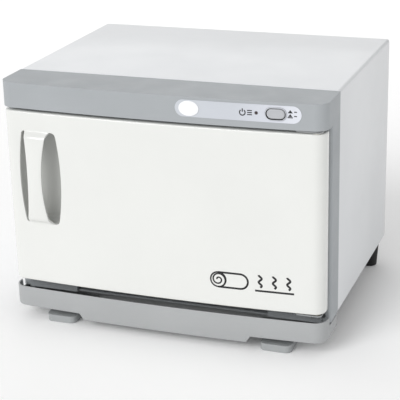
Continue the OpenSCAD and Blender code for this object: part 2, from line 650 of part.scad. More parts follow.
outer_shell();
rear_panel();
base_plate();
front_frame();
control_panel();
badge();
indicator_lamp();
button_bezel();
switch_body();
chamber_liner();
insulation_wrap();
heater_mat();
thermostat();
thermal_fuse();
terminal_block();
wiring();
power_inlet();
inlet_pins();
rack_supports();
wire_rack_lower();
wire_rack_upper();
hinge_bracket_upper();
hinge_bracket_lower();
hinge_pin_upper();
hinge_pin_lower();
magnet_catch();
front_foot_left();
front_foot_right();
rear_foot_left();
rear_foot_right();
tray_rails();
case_screws();
frame_screws();
foot_screws();
hinge_screws();
inlet_screws();
door_front();
handle_cup();
door_inner_panel();
door_insulation();
door_gasket();
hinge_bush_upper();
hinge_bush_lower();
catch_plate();
door_screws();
drip_tray();
power_button();
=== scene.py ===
import json
import math

import bmesh
import bpy
from mathutils import Matrix, Vector

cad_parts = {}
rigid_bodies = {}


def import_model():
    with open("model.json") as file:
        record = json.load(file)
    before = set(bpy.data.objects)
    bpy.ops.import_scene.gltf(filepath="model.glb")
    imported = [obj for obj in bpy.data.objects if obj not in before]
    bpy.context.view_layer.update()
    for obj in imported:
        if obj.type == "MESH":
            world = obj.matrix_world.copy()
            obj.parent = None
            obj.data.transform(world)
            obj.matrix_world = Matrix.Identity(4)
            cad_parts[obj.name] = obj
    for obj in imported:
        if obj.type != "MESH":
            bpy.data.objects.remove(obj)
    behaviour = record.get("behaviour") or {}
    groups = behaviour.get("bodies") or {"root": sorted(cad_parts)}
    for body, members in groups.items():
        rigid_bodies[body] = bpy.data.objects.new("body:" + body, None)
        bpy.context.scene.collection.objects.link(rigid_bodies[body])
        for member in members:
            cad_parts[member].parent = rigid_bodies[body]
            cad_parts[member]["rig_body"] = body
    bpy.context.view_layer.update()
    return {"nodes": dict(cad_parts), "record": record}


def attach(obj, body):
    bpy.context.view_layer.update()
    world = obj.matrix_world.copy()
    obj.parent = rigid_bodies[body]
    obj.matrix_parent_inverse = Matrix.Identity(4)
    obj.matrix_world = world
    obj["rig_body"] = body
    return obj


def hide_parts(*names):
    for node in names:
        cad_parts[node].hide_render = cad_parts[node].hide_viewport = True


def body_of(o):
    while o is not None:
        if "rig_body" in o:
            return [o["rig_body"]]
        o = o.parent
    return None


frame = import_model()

N = frame["nodes"]

# ---------------------------------------------------------------- layout, in millimetres
YJ = -105.15          # the junction between case and front frame
HW = 225.0
BR = 3153.5           # radius of the bow across the front
FM = 74.5             # front middle, in front of the junction
CTL = 329.05
GX, GZ = -173.9, 213.7
CX = -170.4


def V(x, y, z):
    return Vector((x / 1000, (y + YJ) / 1000, z / 1000))


def front_y(x, r=BR, ym=FM):
    return -ym + r - math.sqrt(r * r - x * x)


def sm(t):
    t = max(0.0, min(1.0, t))
    return t * t * (3 - 2 * t)


# ---------------------------------------------------------------- materials
def srgb(*c):
    return tuple(((v / 255 + 0.055) / 1.055) ** 2.4 if v > 10.3 else v / 255 / 12.92 for v in c) + (1.0,)


class Mat:
    def __init__(self, name):
        self.m = bpy.data.materials.new(name)
        self.m.use_nodes = True
        self.nt = self.m.node_tree
        self.b = self.nt.nodes["Principled BSDF"]
        self.tc = self.nt.nodes.new("ShaderNodeTexCoord")

    def new(self, kind, **props):
        n = self.nt.nodes.new(kind)
        for k, v in props.items():
            if k in n.inputs:
                n.inputs[k].default_value = v
            else:
                setattr(n, k, v)
        return n

    def link(self, a, b):
        self.nt.links.new(a, b)

    def mapped(self, scale):
        mp = self.new("ShaderNodeMapping")
        mp.inputs["Scale"].default_value = scale
        self.link(self.tc.outputs["Object"], mp.inputs["Vector"])
        return mp.outputs["Vector"]

    def noise(self, scale, detail=4.0, rough=0.55, vec=None):
        n = self.new("ShaderNodeTexNoise")
        n.inputs["Scale"].default_value = scale
        n.inputs["Detail"].default_value = detail
        n.inputs["Roughness"].default_value = rough
        self.link(vec if vec is not None else self.tc.outputs["Object"], n.inputs["Vector"])
        return n.outputs["Fac"]

    def ramp(self, fac, stops):
        r = self.new("ShaderNodeValToRGB")
        e = r.color_ramp.elements
        while len(e) > 1:
            e.remove(e[0])
        e[0].position, e[0].color = stops[0]
        for p, c in stops[1:]:
            x = e.new(p)
            x.color = c
        self.link(fac, r.inputs["Fac"])
        return r.outputs["Color"]

    def map(self, fac, lo, hi, a=0.35, b=0.65):
        r = self.new("ShaderNodeMapRange")
        r.inputs["From Min"].default_value = a
        r.inputs["From Max"].default_value = b
        r.inputs["To Min"].default_value = lo
        r.inputs["To Max"].default_value = hi
        self.link(fac, r.inputs["Value"])
        return r.outputs["Result"]

    def bump(self, heights, invert=False):
        """heights: list of (fac, strength, distance in metres), stacked"""
        last = None
        for fac, st, dist in heights:
            n = self.new("ShaderNodeBump")
            n.inputs["Strength"].default_value = st
            n.inputs["Distance"].default_value = dist
            self.link(fac, n.inputs["Height"])
            if last is not None:
                self.link(last, n.inputs["Normal"])
            last = n.outputs["Normal"]
        self.link(last, self.b.inputs["Normal"])

    def set(self, **kw):
        for k, v in kw.items():
            self.b.inputs[k.replace("_", " ")].default_value = v


def tint(c, k):
    return tuple(min(1.0, v * k) for v in c[:3]) + (1.0,)


def edge_wear(m, base, amount=0.06):
    """a slightly paler band on convex edges, from the mesh's own pointiness, over a mottled base"""
    g = m.new("ShaderNodeNewGeometry")
    w = m.map(g.outputs["Pointiness"], 0.0, amount, 0.52, 0.62)
    mix = m.new("ShaderNodeMix", data_type="RGBA")
    m.link(w, mix.inputs[0])
    m.link(base, mix.inputs[6])
    mix.inputs[7].default_value = (1, 1, 1, 1)
    return mix.outputs[2]


def plastic(name, col, rough=0.4, grain=900.0, gst=0.25, gdist=0.00006, coat=0.0, spec=0.5, var=0.03, wave=0.0, wear=0.05):
    """moulded plastic: fine texture or gloss ripple, faint mottling, uneven roughness, paler edges"""
    m = Mat(name)
    big = m.noise(9.0, 3.0)
    base = m.ramp(big, [(0.3, tint(col, 1 - var)), (0.7, tint(col, 1 + var))])
    m.link(edge_wear(m, base, wear) if wear else base, m.b.inputs["Base Color"])
    smear = m.noise(26.0, 5.0, 0.6)
    m.link(m.map(smear, rough * 0.88, rough * 1.15), m.b.inputs["Roughness"])
    h = [(m.noise(grain, 2.0, 0.5), gst, gdist)]
    if wave:
        h.insert(0, (m.noise(38.0, 2.0, 0.4), wave, 0.0004))
    m.bump(h)
    m.set(Specular_IOR_Level=spec)
    if coat:
        m.set(Coat_Weight=coat, Coat_Roughness=0.06)
    return m.m


def painted(name, col, rough=0.34, var=0.02):
    """powder-coated sheet: low orange-peel, faint panel waviness, slight roughness drift"""
    m = Mat(name)
    base = m.ramp(m.noise(5.0, 3.0), [(0.3, tint(col, 1 - var)), (0.7, tint(col, 1 + var))])
    m.link(base, m.b.inputs["Base Color"])
    m.link(m.map(m.noise(14.0, 5.0, 0.6), rough * 0.9, rough * 1.2), m.b.inputs["Roughness"])
    m.bump([(m.noise(14.0, 1.0, 0.4), 0.05, 0.0004), (m.noise(2200.0, 1.0, 0.5), 0.1, 0.00001)])
    return m.m


def metal(name, col, rough=0.3, brush=(1, 60, 60), scale=40.0, var=0.06, bst=0.2, bd=0.00003):
    """metal with a directional grain: stretched noise drives roughness and bump, a cloud noise the tone"""
    m = Mat(name)
    vec = m.mapped(brush)
    lines = m.noise(scale, 4.0, 0.6, vec)
    cloud = m.noise(18.0, 4.0, 0.6)
    base = m.ramp(cloud, [(0.3, tint(col, 1 - var)), (0.7, tint(col, 1 + var * 0.6))])
    m.link(base, m.b.inputs["Base Color"])
    m.link(m.map(lines, rough * 0.75, rough * 1.3), m.b.inputs["Roughness"])
    m.bump([(lines, bst, bd)])
    m.set(Metallic=1.0)
    return m.m


def soft(name, col, rough=0.9, scale=140.0, var=0.18, bd=0.0009):
    m = Mat(name)
    f = m.noise(scale, 6.0, 0.7)
    base = m.ramp(f, [(0.3, tint(col, 1 - var)), (0.7, tint(col, 1 + var))])
    m.link(base, m.b.inputs["Base Color"])
    m.link(m.map(m.noise(scale * 2, 3.0), rough * 0.92, min(1.0, rough * 1.06)), m.b.inputs["Roughness"])
    m.bump([(f, 0.7, bd)])
    m.set(Specular_IOR_Level=0.2)
    return m.m


def film(name):
    """silvered film: paler towards the right end as a painted reflection of the studio light, fine brushed grain, thin
    clear coat
    """
    m = Mat(name)
    sep = m.new("ShaderNodeSeparateXYZ")
    m.link(m.tc.outputs["Object"], sep.inputs[0])
    # painted reflection: the base colour grows paler with x, standing in for the light the silvered film reflects
    g = m.map(sep.outputs[0], 0.0, 1.0, 0.035, 0.195)
    col = m.ramp(g, [(0.0, srgb(200, 204, 210)), (0.45, srgb(200, 204, 211)), (0.75, srgb(211, 214, 222)), (1.0, srgb(224, 227, 234))])
    fine = m.noise(60.0, 4.0, 0.6, m.mapped((4, 60, 60)))
    mix = m.new("ShaderNodeMix", data_type="RGBA", blend_type="MULTIPLY")
    mix.inputs[0].default_value = 1.0
    m.link(col, mix.inputs[6])
    m.link(m.ramp(fine, [(0.3, (0.97, 0.97, 0.975, 1)), (0.7, (1, 1, 1, 1))]), mix.inputs[7])
    m.link(mix.outputs[2], m.b.inputs["Base Color"])
    m.link(m.map(fine, 0.29, 0.38), m.b.inputs["Roughness"])
    m.bump([(fine, 0.15, 0.00002)])
    m.set(Coat_Weight=0.3, Coat_Roughness=0.08)
    return m.m


M = {
    "case_paint": painted("case_paint", srgb(224, 226, 228), 0.33),
    "frame_grey": plastic("frame_grey", srgb(168, 172, 175), 0.52, 1400.0, 0.35, 0.00008, spec=0.32, wear=0.0),
    "door_white": plastic("door_white", srgb(228, 229, 226), 0.2, 700.0, 0.12, 0.00003, 0.5, 0.5, 0.012, 0.06, 0.02),
    "cup_grey": plastic("cup_grey", srgb(190, 191, 188), 0.45, 1400.0, 0.35, 0.00008),
    "panel_label": film("panel_label"),
    "badge_white": plastic("badge_white", srgb(246, 247, 249), 0.12, 600.0, 0.06, 0.00002, 0.8, 0.5, 0.008, 0.03, 0.0),
    "button_grey": plastic("button_grey", srgb(182, 184, 188), 0.34, 1500.0, 0.25, 0.00005),
    "bezel_dark": plastic("bezel_dark", srgb(196, 199, 205), 0.36, 1500.0, 0.25, 0.00005),
    "lamp_lens": plastic("lamp_lens", srgb(46, 26, 28), 0.1, 900.0, 0.05, 0.00002, 0.7, 0.5, 0.05, 0.0, 0.0),
    "black_plastic": plastic("black_plastic", srgb(30, 30, 31), 0.4, 1300.0, 0.35, 0.00008, 0.0, 0.5, 0.06),
    "chamber_alu": metal("chamber_alu", srgb(205, 207, 210), 0.39, (60, 1, 1), 30.0),
    "zinc_steel": metal("zinc_steel", srgb(160, 162, 163), 0.4, (1, 1, 1), 90.0, 0.12, 0.3, 0.00004),
    "wire_steel": metal("wire_steel", srgb(188, 190, 193), 0.24, (1, 1, 1), 160.0, 0.04, 0.12, 0.00002),
    "glass_wool": soft("glass_wool", srgb(214, 190, 110)),
    "foam": soft("foam", srgb(226, 218, 196), 0.95, 420.0, 0.06, 0.0004),
    "heater_orange": plastic("heater_orange", srgb(196, 96, 40), 0.6, 1800.0, 0.6, 0.0001, 0.0, 0.4, 0.08),
    "ceramic_white": plastic("ceramic_white", srgb(232, 228, 214), 0.35, 900.0, 0.2, 0.00005, 0.0, 0.5, 0.03),
    "wire_red": plastic("wire_red", srgb(170, 32, 26), 0.38, 900.0, 0.2, 0.00004, 0.0, 0.5, 0.06),
    "inner_panel": painted("inner_panel", srgb(222, 224, 224), 0.33),
    "gasket_grey": plastic("gasket_grey", srgb(84, 85, 87), 0.7, 1500.0, 0.5, 0.0001, 0.0, 0.35, 0.08),
    "foot_rubber": plastic("foot_rubber", srgb(26, 26, 27), 0.62, 1200.0, 0.6, 0.00012, 0.0, 0.35, 0.12),
    "foot_grey": plastic("foot_grey", srgb(160, 163, 164), 0.42, 1400.0, 0.35, 0.00008),
    "tray_grey": plastic("tray_grey", srgb(168, 170, 171), 0.4, 1400.0, 0.35, 0.00008),
    "print_black": plastic("print_black", srgb(22, 22, 24), 0.32, 1600.0, 0.2, 0.00002, 0.0, 0.5, 0.04, 0.0, 0.0),
    "print_grey": plastic("print_grey", srgb(92, 96, 102), 0.4, 1600.0, 0.2, 0.00002, 0.0, 0.5, 0.04, 0.0, 0.0),
}
NODE_SLOT = {s["node"]: s["material_slot"] for s in frame["record"]["subparts"]}
for n, o in N.items():
    m = M[NODE_SLOT[n]]
    for s in o.material_slots:
        s.material = m
    if not o.material_slots:
        o.data.materials.append(m)


# ---------------------------------------------------------------- mesh helpers
def mesh(name, verts, faces, slot, body, replaces=(), smooth=35, bevel=0.0, seg=2, parent=None):
    me = bpy.data.meshes.new(name)
    me.from_pydata([tuple(v) for v in verts], [], faces)
    bm = bmesh.new()
    bm.from_mesh(me)
    bmesh.ops.remove_doubles(bm, verts=bm.verts, dist=1e-7)
    bmesh.ops.dissolve_degenerate(bm, dist=1e-7, edges=bm.edges)
    bmesh.ops.recalc_face_normals(bm, faces=bm.faces)
    bm.to_mesh(me)
    bm.free()
    ob = bpy.data.objects.new(name, me)
    bpy.context.scene.collection.objects.link(ob)
    finish_piece(ob, slot, body, replaces, smooth, bevel, seg)
    return ob


def set_smooth(me, deg):
    for p in me.polygons:
        p.use_smooth = True
    bm = bmesh.new()
    bm.from_mesh(me)
    lim = math.radians(deg)
    for e in bm.edges:
        e.smooth = not (len(e.link_faces) == 2 and e.calc_face_angle(0.0) > lim)
    bm.to_mesh(me)
    bm.free()


def finish_piece(ob, slot, body, replaces=(), smooth=35, bevel=0.0, seg=2):
    ob.data.materials.clear()
    ob.data.materials.append(M[slot])
    if bevel:
        bv = ob.modifiers.new("bevel", "BEVEL")
        bv.width = bevel / 1000
        bv.segments = seg
        bv.limit_method = "ANGLE"
        bv.angle_limit = math.radians(30)
        bv.harden_normals = False
        dg = bpy.context.evaluated_depsgraph_get()
        dg.update()
        me = bpy.data.meshes.new_from_object(ob.evaluated_get(dg))
        ob.modifiers.clear()
        ob.data = me
    set_smooth(ob.data, smooth)
    if replaces:
        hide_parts(*replaces)
    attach(ob, body)


def chain(h, r, ym, rc, extra=(), nf=44, nc=12):
    """front outline from the left side to the right side: [(x, y)]; extra = side points (y) before the corner"""
    yc0 = -ym + r
    yc = yc0 - math.sqrt((r - rc) ** 2 - (h - rc) ** 2)
    f = math.asin((h - rc) / (r - rc))
    pts = [(-h, y) for y in extra]
    for i in range(nc + 1):
        a = math.pi + (math.pi / 2 - f) * i / nc
        pts.append((-h + rc + rc * math.cos(a), yc + rc * math.sin(a)))
    for i in range(1, nf):
        a = 1.5 * math.pi - f + 2 * f * i / nf
        pts.append((r * math.cos(a), yc0 + r * math.sin(a)))
    for i in range(nc + 1):
        a = 1.5 * math.pi + f + (math.pi / 2 - f) * i / nc
        pts.append((h - rc + rc * math.cos(a), yc + rc * math.sin(a)))
    pts += [(h, y) for y in reversed(extra)]
    return pts


def grid_faces(rows, cols, off=0, closed=False):
    out = []
    for i in range(rows - 1):
        for j in range(cols if closed else cols - 1):
            a = off + i * cols + j
            b = off + i * cols + (j + 1) % cols
            out.append((a, b, b + cols, a + cols))
    return out


def bow_solid(levels, yb, extra=(), h=HW, r=BR, ym=FM, rc=18.0, zfun=None, open_back=False, rear_in=0.0):
    """loft of a bowed outline; levels = [(offset, z)]; both ends capped with quads"""
    verts, faces = [], []
    n = None
    for o, z in levels:
        ch = chain(h - o, r - o, ym - o, max(rc - o, 0.4), [y for y in extra])
        n = len(ch)
        hx = h - o
        rear = []
        for i in range(n):
            # rear points at steadily rising x, so that no quad collapses on the straight sides
            k = len(extra)
            x = ch[i][0]
            if k:
                t = i / (n - 1)
                x = -hx + 2 * hx * t if (i < k + 3 or i > n - 4 - k) else x
            rear.append((x, yb - (o if rear_in else 0.0)))
        for i, (x, y) in enumerate(ch):
            verts.append(V(x, y, zfun(x, y, z, o) if zfun else z))
        for i in range(n - 1, -1, -1):
            x, y = rear[i]
            verts.append(V(x, y, zfun(x, y, z, o) if zfun else z))
    c = 2 * n
    faces += grid_faces(len(levels), c, 0, True)
    for base, flip in ((0, True), ((len(levels) - 1) * c, False)):
        for i in range(n - 1):
            q = (base + i, base + i + 1, base + c - 2 - i, base + c - 1 - i)
            faces.append(q[::-1] if flip else q)
    return verts, faces


def round_levels(z0, z1, e0, e1, k=5):
    lv = []
    for i in range(k + 1):
        a = math.pi / 2 * i / k
        lv.append((e0 * (1 - math.sin(a)), z0 + e0 * (1 - math.cos(a))))
    for i in range(k + 1):
        a = math.pi / 2 * i / k
        lv.append((e1 * (1 - math.cos(a)), z1 - e1 * (1 - math.sin(a))))
    return lv


# ---------------------------------------------------------------- steel case
def case_piece():
    """folded wrap: outline in x,z swept along y, outer skin, front and rear edges turned in"""
    r, t = 4.2, 1.0
    z0, z1 = 39.7, 345.0
    k = 8

    def outline(o):
        p = [(-HW + o, z0)]
        for i in range(k + 1):
            a = math.pi - math.pi / 2 * i / k
            p.append((-HW + r + (r - o) * math.cos(a), z1 - r + (r - o) * math.sin(a)))
        for i in range(k + 1):
            a = math.pi / 2 - math.pi / 2 * i / k
            p.append((HW - r + (r - o) * math.cos(a), z1 - r + (r - o) * math.sin(a)))
        p.append((HW - o, z0))
        return p

    # inner skin from back to front, folded front edge, outer skin, folded rear edge: one closed strip per profile
    prof = [(1.0, 1.0), (12.0, 1.0), (12.0, 0.0)]
    prof += [(1.3 - 1.3 * math.sin(math.pi / 2 * i / 5), 1.3 - 1.3 * math.cos(math.pi / 2 * i / 5)) for i in range(6)]
    prof += [(0.0, 289.45), (0.15, 289.85), (0.55, 290.0), (12.0, 290.0), (12.0, 289.0), (1.0, 289.0)]
    verts = []
    n = None
    for o, y in prof:
        ol = outline(min(o, 3.6)) if o > 3.6 else outline(o)
        if o > 3.6:
            ol = [(max(-HW + o, min(HW - o, x)), min(z, z1 - o)) for x, z in ol]
        n = len(ol)
        verts += [V(x, y, z) for x, z in ol]
    faces = []
    m = len(prof)
    for i in range(m):
        a, b = i * n, ((i + 1) % m) * n
        for j in range(n - 1):
            faces.append((a + j, a + j + 1, b + j + 1, b + j))
    for j, flip in ((0, False), (n - 1, True)):
        loop = tuple(i * n + j for i in range(m))
        faces.append(loop[::-1] if flip else loop)
    return mesh("case_wrap", verts, faces, "case_paint", "cabinet", ["outer_shell"], smooth=50)


# ---------------------------------------------------------------- door
DZ0, DZ1 = 60.6, 305.2
DH, DRC, DB = 223.0, 16.0, 41.0
HH, HWID, SAG, RCC = 65.2, 31.0, 6.2, 4.5     # recess half height, half width, sagitta of its sides, corner radius
SR = (HH * HH + SAG * SAG) / (2 * SAG)
CCX = math.sqrt((SR - RCC) ** 2 - (HH - RCC) ** 2) - (SR - HWID)
GEND = 16.8


def rec_hw(z, rc=RCC):
    """half width of the recess outline at height z"""
    d = min(HH, abs(z - GZ))
    zt = SR * (HH - rc) / (SR - rc)
    if d <= zt:
        return math.sqrt(SR * SR - d * d) - (SR - HWID)
    cx = math.sqrt((SR - rc) ** 2 - (HH - rc) ** 2) - (SR - HWID)
    return cx + math.sqrt(max(0.0, rc * rc - (d - HH + rc) ** 2))


def grip_hw(z, flare=2.4):
    t = min(1.0, abs(z - GZ) / HH)
    return 10.5 + (GEND - 10.5) * t ** 2.05 + flare * max(0.0, (t - 0.93) / 0.07) ** 2.2


def lines_at(z):
    """left recess edge, left grip edge, right grip edge, right recess edge"""
    g = GX + 0.9 * max(-1.0, min(1.0, (z - GZ) / HH))
    c = CX + 0.5 * max(-1.0, min(1.0, (z - GZ) / HH))
    a = c - rec_hw(z)
    return a, max(g - grip_hw(z, 0.4), a + 0.3), g + grip_hw(z), c + rec_hw(z, 6.8)


def bulge(z):
    """how far the grip stands out: a short shoulder at each end, then a long arch"""
    d = HH + 0.9 - abs(z - GZ)
    if d <= 0:
        return 0.0
    t = 1 - d / (HH + 0.9)
    return 5.6 * sm(d / 9.0) + 7.4 * max(0.0, 1 - t * t)


def door_piece():
    """front moulding as one sheet with the grip raised out of it; given its wall thickness afterwards"""
    nL, nM, nR, nC = 5, 14, 44, 9
    f = math.asin((DH - DRC) / (BR - DRC))
    yc0 = -FM + BR
    yc = yc0 - math.sqrt((BR - DRC) ** 2 - (DH - DRC) ** 2)
    xt = BR * math.sin(f)
    ez = 2.4
    zs = []
    for i in range(5):
        a = math.pi / 2 * i / 4
        zs.append((DZ0 + ez * (1 - math.cos(a)), ez * (1 - math.sin(a))))
    inner = [DZ0 + 10, DZ0 + 26, DZ0 + 44, DZ0 + 62, GZ - HH - 12, GZ - HH - 6, GZ - HH - 3, GZ - HH - 0.9]
    nrow = 46
    inner += [GZ - HH * math.cos(math.pi * i / nrow) for i in range(nrow + 1)]
    inner += [GZ + HH + 0.9, GZ + HH + 3, GZ + HH + 6, GZ + HH + 11]
    zs += [(z, 0.0) for z in inner]
    for i in range(5):
        a = math.pi / 2 * i / 4
        zs.append((DZ1 - ez * (1 - math.sin(a)), ez * (1 - math.cos(a))))
    verts, idx = [], []

    def add(x, y, z):
        verts.append(V(x, y, z))
        return len(verts) - 1

    faces = []
    rows = []
    for z, o in zs:
        a, b, c, d = lines_at(z)
        h, rc, r, ym = DH - o, DRC - o, BR - o, FM - o
        inside = abs(z - GZ) < HH - 1e-6
        row = {"L": [], "G1": [], "M": [], "G2": [], "R": []}
        # rear left corner and side, then the front corner
        rr = max(7.0 - o, 0.6)
        for i in range(7):
            t = math.pi / 2 * i / 6
            row["L"].append(add(-h + rr - rr * math.sin(t), -DB - rr + rr * math.cos(t), z))
        for i in range(nC + 1):
            t = math.pi + (math.pi / 2 - f) * i / nC
            row["L"].append(add(-h + rc + rc * math.cos(t), yc + rc * math.sin(t), z))
        x0 = -xt
        for i in range(1, nL + 1):
            x = x0 + (a - x0) * i / nL
            row["L"].append(add(x, front_y(x, r, ym), z))
        k = bulge(z)
        for i in range(nM + 1):
            s = 2 * i / nM - 1
            x = b + (c - b) * (s + 1) / 2
            row["M"].append(add(x, front_y(x, r, ym) - k * (1 - 0.04 * s * s - 0.08 * s ** 4), z))
        for i in range(nR + 1):
            x = d + (xt - d) * (i / nR)
            row["R"].append(add(x, front_y(x, r, ym), z))
        if not inside:
            for key, p0, p1, e0, e1 in (("G1", a, b, row["L"][-1], row["M"][0]), ("G2", c, d, row["M"][-1], row["R"][0])):
                y0, y1 = verts[e0].y * 1000 - YJ, verts[e1].y * 1000 - YJ
                row[key] = [e0] + [add(p0 + (p1 - p0) * q, y0 + (y1 - y0) * sm(q), z) for q in (0.34, 0.67)] + [e1]
        for i in range(1, nC + 1):
            t = 1.5 * math.pi + f + (math.pi / 2 - f) * i / nC
            row["R"].append(add(h - rc + rc * math.cos(t), yc + rc * math.sin(t), z))
        for i in range(7):
            t = math.pi / 2 * i / 6
            row["R"].append(add(h - rr + rr * math.cos(t), -DB - rr + rr * math.sin(t), z))
        rows.append((row, inside))
    for (r0, in0), (r1, in1) in zip(rows, rows[1:]):
        for key in ("L", "G1", "M", "G2", "R"):
            p, q = r0[key], r1[key]
            if not p or not q:
                continue
            for j in range(len(p) - 1):
                faces.append((p[j], p[j + 1], q[j + 1], q[j]))
    # top and bottom walls: one flat face each, inside the rounded edge
    for row, rev in ((rows[0][0], True), (rows[-1][0], False)):
        loop = row["L"] + row["G1"][1:] + row["M"][1:] + row["G2"][1:] + row["R"][1:]
        faces.append(tuple(loop[::-1] if rev else loop))
    me = bpy.data.meshes.new("door_moulding")
    me.from_pydata([tuple(v) for v in verts], [], faces)
    bm = bmesh.new()
    bm.from_mesh(me)
    bmesh.ops.remove_doubles(bm, verts=bm.verts, dist=2e-6)
    bmesh.ops.dissolve_degenerate(bm, dist=1e-6, edges=bm.edges)
    bmesh.ops.recalc_face_normals(bm, faces=bm.faces)
    # normals must point out of the door
    ref = [q for q in bm.faces if abs(q.calc_center_median().x) < 0.05 and q.calc_center_median().y < (-60 + YJ) / 1000]
    if sum(q.normal.y for q in ref) > 0:
        bmesh.ops.reverse_faces(bm, faces=bm.faces)
    bm.to_mesh(me)
    bm.free()
    ob = bpy.data.objects.new("door_moulding", me)
    bpy.context.scene.collection.objects.link(ob)
    so = ob.modifiers.new("wall", "SOLIDIFY")
    so.thickness = 0.0030
    so.offset = -1.0
    so.use_even_offset = True
    so.use_quality_normals = True
    bv = ob.modifiers.new("bevel", "BEVEL")
    bv.width = 0.0011
    bv.segments = 3
    bv.limit_method = "ANGLE"
    bv.angle_limit = math.radians(38)
    dg = bpy.context.evaluated_depsgraph_get()
    dg.update()
    out = bpy.data.meshes.new_from_object(ob.evaluated_get(dg))
    ob.modifiers.clear()
    ob.data = out
    finish_piece(ob, "door_white", "door", ["door_front"], 32)
    return ob


def cup_piece():
    """smooth dish behind the recess: rim under the door wall, rolled floor"""
    def outline(o):
        """barrel with rounded corners, grown by o, as (x, z) about the recess centre"""
        rc = max(RCC + o, 1.2)
        rs, zc = SR + o, HH + o - rc
        f = math.asin(zc / (rs - rc))
        xc = math.sqrt((rs - rc) ** 2 - zc ** 2) - (SR - HWID)
        q = [(HWID - SR + rs * math.cos(f * k / 10), rs * math.sin(f * k / 10)) for k in range(11)]
        q += [(xc + rc * math.cos(f + (math.pi / 2 - f) * k / 6), zc + rc * math.sin(f + (math.pi / 2 - f) * k / 6)) for k in range(1, 7)]
        half = q + [(-x, z) for x, z in reversed(q)]
        return half + [(x, -z) for x, z in reversed(half[1:-1])]

    loops = [[(CX + x, -dep, GZ + z) for x, z in outline(o)] for o, dep in ((-0.3, 66.4), (-0.5, 62.0), (-1.2, 58.5), (-2.6, 55.4), (-4.4, 53.4))]
    m = len(loops[0])

    def shrink(lp, kx, kz, dep):
        return [(CX + (x - CX) * kx, -dep, GZ + (z - GZ) * kz) for x, y, z in lp]

    loops.append(shrink(loops[-1], 0.86, 0.945, 52.5))
    loops.append(shrink(loops[-1], 0.7, 0.88, 52.05))
    outer = [[(CX + x, -dep, GZ + z) for x, z in outline(o)] for o, dep in ((1.5, 66.4), (1.5, 60.0), (0.7, 54.6), (-1.6, 51.4))]
    outer.append(shrink(outer[-1], 0.86, 0.94, 50.2))
    verts, faces = [], []
    loops = [[V(*p) for p in lp] for lp in loops]
    outer = [[V(*p) for p in lp] for lp in outer]
    seq = loops[::-1] + outer
    for lp in seq:
        verts += lp
    faces += grid_faces(len(seq), m, 0, True)
    faces.append(tuple(range(m))[::-1])
    faces.append(tuple((len(seq) - 1) * m + k for k in range(m)))
    # the rim follows the bow of the door wall
    out = []
    for v in verts:
        y = v.y * 1000 - YJ
        x = v.x * 1000
        if y < -60:
            lim = front_y(x, BR - 3.2, FM - 3.2) + 0.25
            y2 = y if y < -66.3 else y
            if y <= -66.3:
                y2 = lim
            v = V(x, y2, v.z * 1000)
        out.append(v)
    return mesh("handle_dish", out, faces, "cup_grey", "door", ["handle_cup"], smooth=50)


# ---------------------------------------------------------------- tray
def tray_piece():
    zb, zdeep = 19.6, 11.0
    side = (-6.0, -25.0, -43.2, -44.8)

    def zbot(x, extra=0.0):
        ax = abs(x)
        if ax <= 118:
            return zdeep + extra
        if ax < 124:
            return zdeep + extra + (zb - zdeep) * (ax - 118) / 6
        return zb + extra

    w = 2.2
    h0 = dict(yb=-6.0, extra=side[1:], nf=76)
    xs_extra = (-124.0, -118.0, 118.0, 124.0)

    def ring(o, zf, yback):
        ch = chain(HW - o, BR - o, FM - o, 18.0 - o, side[1:], nf=76)
        # slide the nearest points onto the steps of the floor
        for xe in xs_extra:
            k = min(range(len(ch)), key=lambda i: abs(ch[i][0] - xe) if abs(ch[i][0]) < 200 else 1e9)
            ch[k] = (xe, front_y(xe, BR - o, FM - o))
        n = len(ch)
        pts = [(x, y, zf(x, y)) for x, y in ch]
        k = 3
        for i in range(n - 1, -1, -1):
            x = ch[i][0]
            lim = HW - o
            if i < k + 1:
                x = -lim + (ch[k + 2][0] + lim) * i / (k + 2)
            elif i > n - 2 - k:
                x = lim - (lim - ch[n - 3 - k][0]) * (n - 1 - i) / (k + 2)
            pts.append((x, yback, zf(x, yback)))
        return pts

    def top(x, y, lift=0.0):
        return (48.9 if y < -44 else 36.5) + lift

    e = 2.0
    rings = []
    for i in range(5):
        a = math.pi / 2 * i / 4
        o = e * (1 - math.sin(a))
        rings.append(ring(o, lambda x, y, a=a: zbot(x, e * (1 - math.cos(a))), -6.0 - o))
    rings.append(ring(0, lambda x, y: top(x, y, -0.7), -6.0))
    rings.append(ring(0.25, lambda x, y: top(x, y, -0.2), -6.25))
    rings.append(ring(0.7, lambda x, y: top(x, y, 0), -6.7))
    rings.append(ring(w - 0.7, lambda x, y: top(x, y, 0), -6 - w + 0.7))
    rings.append(ring(w - 0.2, lambda x, y: top(x, y, -0.25), -6 - w + 0.2))
    rings.append(ring(w, lambda x, y: top(x, y, -0.8), -6 - w))
    rings.append(ring(w + 0.3, lambda x, y: zbot(x, w + 1.6), -6 - w - 0.3))
    rings.append(ring(w + 1.6, lambda x, y: zbot(x, w), -6 - w - 1.6))
    c = len(rings[0])
    n = c // 2
    verts = [V(*p) for r in rings for p in r]
    faces = grid_faces(len(rings), c, 0, True)
    for base, flip in ((0, True), ((len(rings) - 1) * c, False)):
        for i in range(n - 1):
            q = (base + i, base + i + 1, base + c - 2 - i, base + c - 1 - i)
            faces.append(q[::-1] if flip else q)
    return mesh("tray_trough", verts, faces, "tray_grey", "tray", [], smooth=40)


